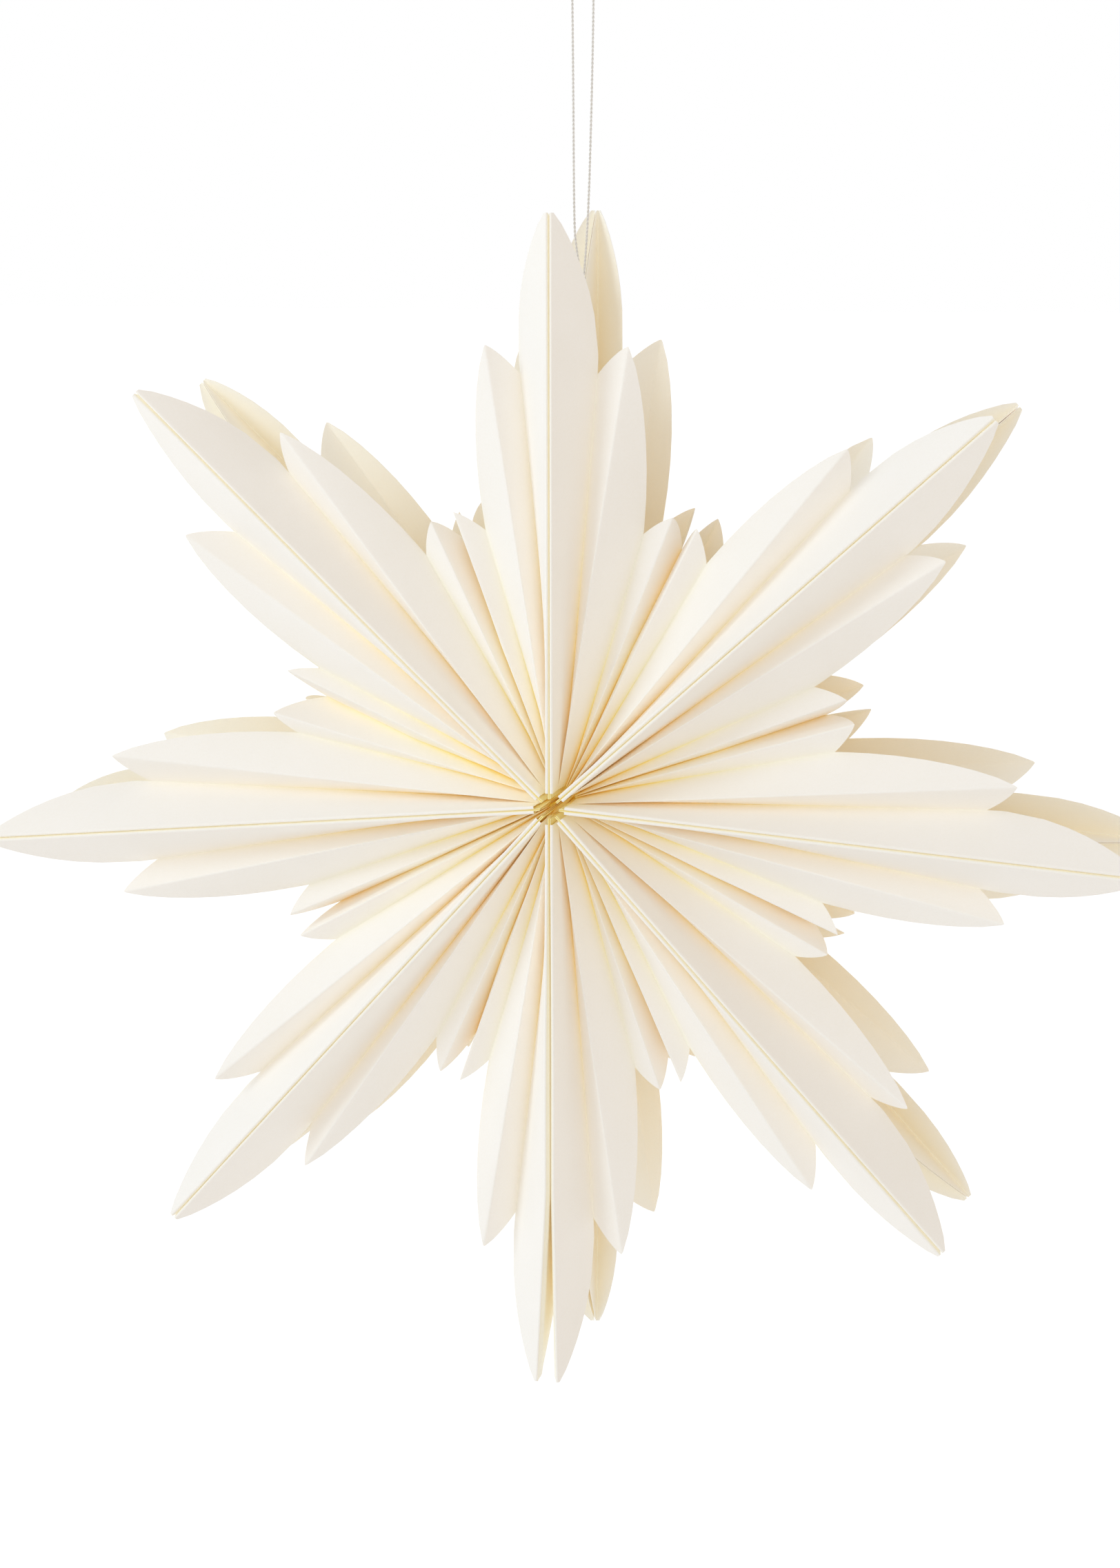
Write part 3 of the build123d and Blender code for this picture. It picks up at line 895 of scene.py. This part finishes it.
def make_light():
    """Soft studio light, cooler from the left, and a white backdrop that only the camera sees."""
    world = bpy.data.worlds.new("studio")
    bpy.context.scene.world = world
    world.use_nodes = True
    nodes, links = world.node_tree.nodes, world.node_tree.links
    sky = nodes["Background"]
    direction = nodes.new("ShaderNodeTexCoord").outputs["Generated"]
    across = fade(nodes, links, axis_value(nodes, links, direction, "X"), (-1, 1), (0, 1))
    tint = ramp(nodes, links, across, [(0.0, SKY_LEFT), (1.0, SKY_RIGHT)])
    links.new(tint, sky.inputs["Color"])
    sky.inputs["Strength"].default_value = SKY_STRENGTH
    backdrop = nodes.new("ShaderNodeBackground")
    backdrop.inputs["Color"].default_value = (*WHITE, 1)
    path = nodes.new("ShaderNodeLightPath")
    seen = nodes.new("ShaderNodeMixShader")
    links.new(path.outputs["Is Camera Ray"], seen.inputs["Fac"])
    links.new(sky.outputs["Background"], seen.inputs[1])
    links.new(backdrop.outputs["Background"], seen.inputs[2])
    links.new(seen.outputs["Shader"], nodes["World Output"].inputs["Surface"])

    area_light("key", away=(-2.0, -1.5, 1.1), size=1.2, power=17, colour=(0.82, 0.935, 1))
    area_light("fill", away=(0.4, -2.6, 0.5), size=0.9, power=5, colour=(1, 0.94, 0.82))


def area_light(name, away, size, power, colour):
    """Square soft light, placed from the star's centre and aimed at it."""
    light = bpy.data.lights.new(name, "AREA")
    light.size = size
    light.energy = power
    light.color = colour
    lamp = bpy.data.objects.new(name, light)
    bpy.context.scene.collection.objects.link(lamp)
    lamp.location = star_centre + Vector(away)
    lamp.rotation_euler = (-Vector(away)).to_track_quat("-Z", "Y").to_euler()


def make_camera():
    """Camera at the photograph's viewing angle."""
    azimuth, elevation = math.radians(CAMERA_AZIMUTH), math.radians(CAMERA_ELEVATION)
    back = Vector((math.sin(azimuth) * math.cos(elevation), -math.cos(azimuth) * math.cos(elevation),
                   math.sin(elevation)))
    data = bpy.data.cameras.new("camera")
    data.lens = CAMERA_LENS
    data.shift_x, data.shift_y = CAMERA_SHIFT
    camera = bpy.data.objects.new("camera", data)
    bpy.context.scene.collection.objects.link(camera)
    camera.location = star_centre + back * CAMERA_DISTANCE
    camera.rotation_euler = (-back).to_track_quat("-Z", "Y").to_euler()
    bpy.context.scene.camera = camera


bpy.context.scene.view_settings.view_transform = "Standard"
bpy.context.scene.cycles.max_bounces = LIGHT_BOUNCES
bpy.context.scene.cycles.diffuse_bounces = LIGHT_BOUNCES
make_camera()
make_floor()
make_light()

paper_outside = paper("paper_outside", PALE_OUTSIDE)
paper_inside_bounce_lit = paper("paper_inside_bounce_lit", PALE_INSIDE_BOUNCE_LIT)
cotton = cotton_string()
glue = plain_finish("dried_glue", GLUE_DARK, GLUE_LIGHT, GLUE_GRAINS, roughness=0.45)
pad = plain_finish("pad_foam", FOAM_DARK, FOAM_LIGHT, FOAM_GRAINS, roughness=0.9)

make_string()
for half in half_sectors():
    make_leaf(half)
    make_pleats(half, FRONT)
    make_pleats(half, BACK)

for node in frame["nodes"]:
    if node.endswith("_seam_glue"):
        finish_node(node, glue)
make_pad()

bpy.context.view_layer.update()
